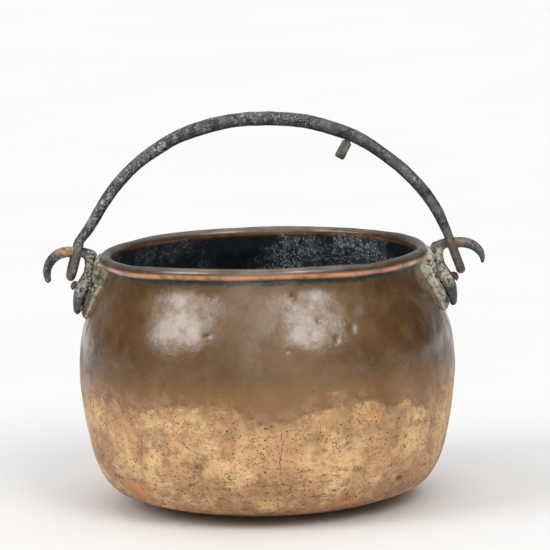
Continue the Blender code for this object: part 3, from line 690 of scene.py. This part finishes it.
def copper_material(name):
    """One look for both sheets: patina above the lap line, scrubbed and pitted copper below it."""
    s = Shader(name)
    over = lap_mark(s)
    patina = s.range(over, -0.0020, 0.0028)
    blush = s.math("MULTIPLY", s.range(over, -0.002, 0.002), s.range(over, 0.020, 0.003))
    blush = s.math("MULTIPLY", blush, s.range(s.noise(0.016, 7.0, 0.72, place=shifted(s, 4.4)), 0.42, 0.60))
    pits = s.math("MULTIPLY", pan_pits(s), s.range(over, 0.006, -0.004))
    warm = s.math("MULTIPLY", s.attribute("orange"), s.range(s.noise(0.0060, 6.0, 0.75), 0.32, 0.52))
    low = s.mix(s.math("MULTIPLY", warm, 0.8), bare_colour(s), (0.720, 0.300, 0.100))
    stain = s.math("MULTIPLY", s.attribute("dark"), s.range(s.noise(0.0050, 6.0, 0.75), 0.40, 0.56))
    low = s.mix(s.math("MULTIPLY", stain, 0.9), low, (0.085, 0.056, 0.036))
    low = s.mix(s.math("MULTIPLY", pits, 0.85), low, (0.120, 0.056, 0.022))
    broken = s.range(s.noise(0.006, 4.0, 0.7), 0.36, 0.58)
    low = s.mix(s.math("MULTIPLY", s.attribute("groove"), broken), low, (0.130, 0.075, 0.042))
    high = s.mix(s.math("MULTIPLY", blush, 0.6), patina_colour(s), (0.410, 0.225, 0.120))
    fringe = s.math("MULTIPLY", s.range(over, -0.016, 0.0), s.range(s.noise(0.0090, 6.0, 0.75), 0.40, 0.60))
    low = s.mix(s.math("MULTIPLY", fringe, 0.75), low, (0.290, 0.165, 0.085))
    # Painted shade: in the patina the dark patches darken the dents and the crease.
    high = s.mix(s.math("MULTIPLY", s.attribute("dark"), 0.7), high, (0.060, 0.030, 0.014))
    high = s.mix(s.math("MULTIPLY", warm, 0.8), high, (0.600, 0.330, 0.190))
    colour = s.mix(patina, low, high)
    level = s.attribute("level")
    rubbed = s.math("MULTIPLY", s.range(level, 0.2385, 0.2365), s.range(level, 0.2315, 0.2330))
    rubbed = s.math("MULTIPLY", rubbed, s.range(s.noise(0.030, 5.0, 0.65), 0.34, 0.56))
    colour = s.mix(rubbed, colour, (0.600, 0.235, 0.095))
    worn = s.math("MULTIPLY", s.range(level, 0.2385, 0.2405), s.range(s.noise(0.022, 6.0, 0.7), 0.32, 0.55))
    colour = s.mix(s.math("MULTIPLY", worn, 0.75), colour, (0.055, 0.040, 0.034))
    uneven_edge = s.math("MULTIPLY", s.math("SUBTRACT", s.noise(0.009, 6.0, 0.7), 0.5), 0.012)
    under = s.math("ADD", level, uneven_edge)
    green = s.math("MULTIPLY", s.range(under, 0.2275, 0.2288), s.range(level, 0.2345, 0.2325))
    tone = s.mix(s.range(s.noise(0.012, 5.0, 0.7), 0.42, 0.58), (0.022, 0.020, 0.014), (0.036, 0.068, 0.044))
    colour = s.mix(s.math("MULTIPLY", green, 0.85), colour, tone)
    inside = s.attribute("inside")
    colour = s.mix(inside, colour, black_inside(s))
    gloss = s.mix(patina, (0.50, 0.50, 0.50), (0.34, 0.34, 0.34))
    rough = s.range(s.noise(0.018, 6.0, 0.7), 0.36, 0.64, 0.0, 0.8)
    gloss = s.mix(rough, gloss, (0.62, 0.62, 0.62))
    gloss = s.mix(inside, gloss, (0.42, 0.42, 0.42))
    metal = s.mix(patina, (0.50, 0.50, 0.50), (0.10, 0.10, 0.10))
    metal = s.mix(s.either(pits, stain), metal, (0.95, 0.95, 0.95))
    metal = s.mix(s.either(inside, green), metal, (0.0, 0.0, 0.0))
    grain = s.bump(s.noise(0.0016, 5.0, 0.7), 0.00022, 0.5)
    uneven = s.bump(s.math("MULTIPLY", s.noise(0.0070, 5.0, 0.65), patina), 0.00040, 0.5, grain)
    pitted = s.bump(s.math("SUBTRACT", 1.0, pits), 0.00045, 0.8, uneven)
    smudged = s.range(s.noise(0.024, 6.0, 0.65, place=shifted(s, 8.2)), 0.36, 0.62, 0.35, 1.0)
    smudged = s.math("MULTIPLY", smudged, s.range(level, 0.138, 0.165, 0.35, 1.0))
    coat = s.math("MULTIPLY", s.math("MULTIPLY", patina, smudged), s.math("SUBTRACT", 1.0, inside))
    return s.finish(base_color=colour, roughness=gloss, metallic=metal, normal=pitted, coat_normal=pitted,
                    coat_weight=coat, coat_roughness=0.18, coat_ior=1.80, ior=1.40)


def iron_colour(s):
    """Dark forged iron with grey scale and light worn specks, more of them on the left."""
    cloud = s.range(s.noise(0.014, 6.0, 0.65), 0.36, 0.66)
    colour = s.mix(cloud, (0.034, 0.032, 0.033), (0.130, 0.127, 0.126))
    scale = s.range(s.noise(0.009, 5.0, 0.7, place=shifted(s, 5.0)), 0.54, 0.70)
    colour = s.mix(s.math("MULTIPLY", scale, 0.5), colour, (0.130, 0.098, 0.075))
    colour = s.mix(s.math("MULTIPLY", s.attribute("pits"), 0.6), colour, (0.022, 0.021, 0.022))
    worn = s.either(s.range(s.noise(0.0040, 8.0, 0.90), 0.53, 0.58), s.specks(0.0024, 0.36, 0.30, 1.7))
    across = across_of(s)
    patchy = s.range(s.noise(0.025, 4.0, 0.6, place=shifted(s, 6.6)), 0.38, 0.58, 0.35, 1.0)
    patchy = s.math("MULTIPLY", patchy, s.range(across, 0.100, -0.130, 0.45, 1.0))
    return s.mix(s.math("MULTIPLY", worn, patchy), colour, (0.620, 0.610, 0.595))


def finish_iron(s, colour):
    normal = s.bump(s.noise(0.0022, 6.0, 0.7), 0.0005, 0.8)
    gloss = s.range(s.noise(0.006, 5.0, 0.7), 0.3, 0.7, 0.40, 0.70)
    return s.finish(base_color=colour, roughness=gloss, metallic=0.45, normal=normal)


def bail_material(name):
    s = Shader(name)
    colour = iron_colour(s)
    level = height_of(s)
    brown = s.math("MULTIPLY", s.range(level, 0.262, 0.240), s.range(s.noise(0.008, 6.0, 0.7), 0.36, 0.62))
    return finish_iron(s, s.mix(s.math("MULTIPLY", brown, 0.7), colour, (0.150, 0.105, 0.078)))


def speckled_crust(s):
    """Whitish-brown corrosion with dark holes."""
    across = across_of(s)
    more = s.range(across, -0.05, 0.05, 0.0, 0.035)
    pale = s.range(s.math("ADD", s.noise(0.0046, 8.0, 0.85), more), 0.47, 0.55)
    colour = s.mix(pale, (0.036, 0.027, 0.020), (0.600, 0.560, 0.460))
    tint = s.range(s.noise(0.010, 5.0, 0.7, place=shifted(s, 4.0)), 0.46, 0.62)
    return s.mix(s.math("MULTIPLY", tint, 0.45), colour, (0.170, 0.160, 0.085))


def ear_material(name):
    """Ear hook: grey-blue paddle, crusted middle, and rust where the bail rubs the horn."""
    s = Shader(name)
    split = s.node("ShaderNodeSeparateXYZ", {0: s.place})
    level = split.outputs["Z"]
    side = s.math("ABSOLUTE", split.outputs["X"])
    iron = iron_colour(s)
    paddle = s.range(level, 0.2080, 0.2010)
    iron = s.mix(s.math("MULTIPLY", paddle, 0.6), iron, (0.060, 0.064, 0.072))
    middle = s.math("MULTIPLY", s.range(level, 0.2020, 0.2090), s.range(level, 0.2440, 0.2380))
    middle = s.math("MULTIPLY", middle, s.range(side, 0.1850, 0.1800))
    crusted = s.math("MULTIPLY", middle, s.range(s.noise(0.007, 5.0, 0.7, place=shifted(s, 6.0)), 0.34, 0.50))
    colour = s.mix(crusted, iron, speckled_crust(s))
    rusty = s.math("MULTIPLY", s.range(side, 0.1800, 0.1840), s.range(side, 0.2010, 0.1960))
    rusty = s.math("MULTIPLY", rusty, s.range(level, 0.2400, 0.2450))
    rusty = s.math("MULTIPLY", rusty, s.range(s.noise(0.009, 5.0, 0.7, place=shifted(s, 2.0)), 0.34, 0.54))
    tone = s.mix(s.range(s.noise(0.004, 4.0, 0.6), 0.35, 0.65), (0.360, 0.150, 0.035), (0.520, 0.360, 0.190))
    tone = s.mix(s.range(split.outputs["X"], -0.05, 0.05, 0.0, 0.75), tone, (0.240, 0.165, 0.115))
    return finish_iron(s, s.mix(s.math("MULTIPLY", rusty, 0.9), colour, tone))


def crust_material(name):
    """Pad: speckled crust, darker towards the foot, with verdigris where it meets the copper."""
    s = Shader(name)
    across = across_of(s)
    foot = s.math("MULTIPLY", s.range(height_of(s), 0.2120, 0.1980), s.range(across, -0.05, 0.05, 0.85, 0.35))
    less = s.range(across, -0.05, 0.05, 0.0, 0.10)
    dull = s.range(s.math("SUBTRACT", s.noise(0.0080, 5.0, 0.7, place=shifted(s, 9.0)), less), 0.42, 0.58)
    colour = s.mix(s.math("MULTIPLY", dull, 0.8), speckled_crust(s), (0.075, 0.058, 0.036))
    colour = s.mix(foot, colour, (0.085, 0.072, 0.062))
    mottled = s.range(s.noise(0.008, 5.0, 0.7), 0.36, 0.52)
    green = s.math("MULTIPLY", s.range(s.attribute("edge"), 0.45, 0.80), mottled)
    tone = s.mix(s.range(s.noise(0.004, 3.0, 0.6), 0.4, 0.6), (0.380, 0.370, 0.110), (0.560, 0.530, 0.400))
    tone = s.mix(s.range(across, -0.05, 0.05, 0.0, 0.6), tone, (0.620, 0.580, 0.470))
    colour = s.mix(s.math("MULTIPLY", green, 0.85), colour, tone)
    normal = s.bump(s.noise(0.0016, 6.0, 0.75), 0.0006, 0.9)
    return s.finish(base_color=colour, roughness=0.9, metallic=0.0, normal=normal)


def rivet_material(name):
    """Brown rivet heads; their tails inside the kettle are black."""
    s = Shader(name)
    cloud = s.range(s.noise(0.004, 5.0, 0.7), 0.35, 0.65)
    colour = s.mix(cloud, (0.070, 0.042, 0.030), (0.200, 0.125, 0.090))
    flat = s.node("ShaderNodeVectorMath", {0: s.place, 1: (1.0, 1.0, 0.0)}, operation="MULTIPLY").outputs[0]
    radius = s.node("ShaderNodeVectorMath", {0: flat}, operation="LENGTH").outputs["Value"]
    colour = s.mix(s.range(radius, 0.1650, 0.1630), colour, (0.014, 0.015, 0.018))
    normal = s.bump(s.noise(0.0015, 5.0, 0.7), 0.0003, 0.7)
    return s.finish(base_color=colour, roughness=0.6, metallic=0.4, normal=normal)


def peg_material(name):
    s = Shader(name)
    level = height_of(s)
    cloud = s.range(s.noise(0.005, 6.0, 0.7), 0.35, 0.65)
    colour = s.mix(cloud, (0.090, 0.090, 0.066), (0.200, 0.198, 0.155))
    colour = s.mix(s.range(level, 0.3350, 0.3300), colour, (0.045, 0.044, 0.036))
    normal = s.bump(s.noise(0.0018, 5.0, 0.7), 0.0004, 0.7)
    return s.finish(base_color=colour, roughness=0.62, metallic=0.4, normal=normal)


# ---------------------------------------------------------------- the pieces
def make_pieces():
    copper = copper_material("hammered_copper")
    stand_for(make_wall(), "kettle_wall", copper)
    stand_for(make_pan(), "kettle_pan", copper)

    bail = refined("bail", "bail_forged", 0.0007, 5,
                   ((0.030, 0.00035, 31), (0.011, 0.00020, 32), (0.004, 0.00012, 33)),
                   (0.0035, 0.42, 0.00035, 34), 0.00055, BAIL_RUBBED)
    stand_for(bail, "bail", bail_material("forged_bail"))
    peg = refined("bail_peg", "bail_peg_worn", 0.0004, 3, ((0.006, 0.00025, 41), (0.002, 0.00008, 42)),
                  (0.0025, 0.40, 0.00020, 43))
    stand_for(peg, "bail_peg", peg_material("peg_iron"))

    ear_iron = ear_material("forged_ears")
    crust = crust_material("crusted_pad")
    rivet = rivet_material("rivet_heads")
    for side in ("left", "right"):
        hook = refined(f"ear_hook_{side}", f"ear_hook_{side}_forged", 0.0005, 5,
                       ((0.012, 0.00020, 51), (0.005, 0.00012, 52), (0.002, 0.00008, 53)),
                       (0.003, 0.45, 0.00030, 54), 0.00005)
        stand_for(hook, f"ear_hook_{side}", ear_iron)
        stand_for(make_crusted_pad(side), f"ear_pad_{side}", crust)
        heads = [f"main_rivet_{side}"]
        for level in ("upper", "lower"):
            heads += [f"pad_rivet_{side}_{level}_front", f"pad_rivet_{side}_{level}_back"]
        for head in heads:
            made = refined(head, f"{head}_hammered", 0.00035, 3,
                           ((0.003, 0.00022, 71), (0.0012, 0.00008, 72)))
            stand_for(made, head, rivet)
    stand_for(make_bent_wire(), "rim_wire", ear_iron)
    for side in ("left", "right"):
        mesh = frame["nodes"][f"rivet_rove_{side}"].data
        mesh.materials.clear()
        mesh.materials.append(rivet)


# ---------------------------------------------------------------- floor, light and camera
def make_floor():
    mesh = bpy.data.meshes.new("floor")
    body = bmesh.new()
    bmesh.ops.create_circle(body, cap_ends=True, segments=64, radius=30.0)
    body.to_mesh(mesh)
    body.free()
    floor = new_object("floor", mesh)
    floor.location.z = -0.0002
    s = Shader("pale_floor")
    tone = s.range(s.noise(0.5, 2.0), 0.3, 0.7)
    mesh.materials.append(s.finish(base_color=s.mix(tone, (0.855, 0.855, 0.85), (0.875, 0.875, 0.87)),
                                   roughness=0.85, specular_ior_level=0.2))


def make_light(name, toward, strength, size):
    """A broad sun that shines from the direction toward, size degrees across."""
    data = bpy.data.lights.new(name, "SUN")
    data.energy = strength
    data.angle = math.radians(size)
    lamp = bpy.data.objects.new(name, data)
    lamp.rotation_euler = Vector(toward).to_track_quat("Z", "Y").to_euler()
    bpy.context.scene.collection.objects.link(lamp)


def make_world():
    """Soft surroundings: white above the kettle, grey behind it, dark at its sides and in front."""
    world = bpy.data.worlds.new("studio")
    world.use_nodes = True
    bpy.context.scene.world = world
    tree = world.node_tree
    background = tree.nodes["Background"]
    place = tree.nodes.new("ShaderNodeTexCoord").outputs["Generated"]
    split = tree.nodes.new("ShaderNodeSeparateXYZ")
    tree.links.new(place, split.inputs[0])
    shares = []
    for axis, low, high, most in (("Y", 0.45, 0.90, 0.32), ("Z", 0.50, 0.90, 1.0)):
        share = tree.nodes.new("ShaderNodeMapRange")
        share.interpolation_type = "SMOOTHSTEP"
        share.inputs["From Min"].default_value = low
        share.inputs["From Max"].default_value = high
        share.inputs["To Max"].default_value = most
        tree.links.new(split.outputs[axis], share.inputs["Value"])
        shares.append(share.outputs["Result"])
    either = tree.nodes.new("ShaderNodeMath")
    either.operation = "MAXIMUM"
    tree.links.new(shares[0], either.inputs[0])
    tree.links.new(shares[1], either.inputs[1])
    mix = tree.nodes.new("ShaderNodeMix")
    mix.data_type = "RGBA"
    mix.inputs[6].default_value = (0.07, 0.07, 0.07, 1.0)
    mix.inputs[7].default_value = (0.95, 0.95, 0.95, 1.0)
    tree.links.new(either.outputs[0], mix.inputs[0])
    tree.links.new(mix.outputs[2], background.inputs["Color"])


def make_camera():
    data = bpy.data.cameras.new("camera")
    data.sensor_width = 36.0
    data.lens = 262.6
    camera = bpy.data.objects.new("camera", data)
    bpy.context.scene.collection.objects.link(camera)
    place = Vector((0.120, -3.800, 0.798))
    aim = Vector((0.0103, 0.0, 0.2177))
    look = (aim - place).to_track_quat("-Z", "Y").to_matrix().to_4x4()
    camera.matrix_world = Matrix.Translation(place) @ look @ Matrix.Rotation(-0.0292, 4, "Z")
    bpy.context.scene.camera = camera


make_pieces()
make_floor()
make_light("left_softbox", (-0.74, -0.37, 0.56), 1.00, 31)
make_light("right_softbox", (0.45, -0.625, 0.64), 1.05, 30)
make_light("top_softbox", (-0.1, -0.1, 1.0), 0.52, 110)
make_light("front_softbox", (0.0, -1.0, 0.35), 0.50, 50)
make_world()
make_camera()
bpy.context.scene.view_settings.view_transform = "Standard"
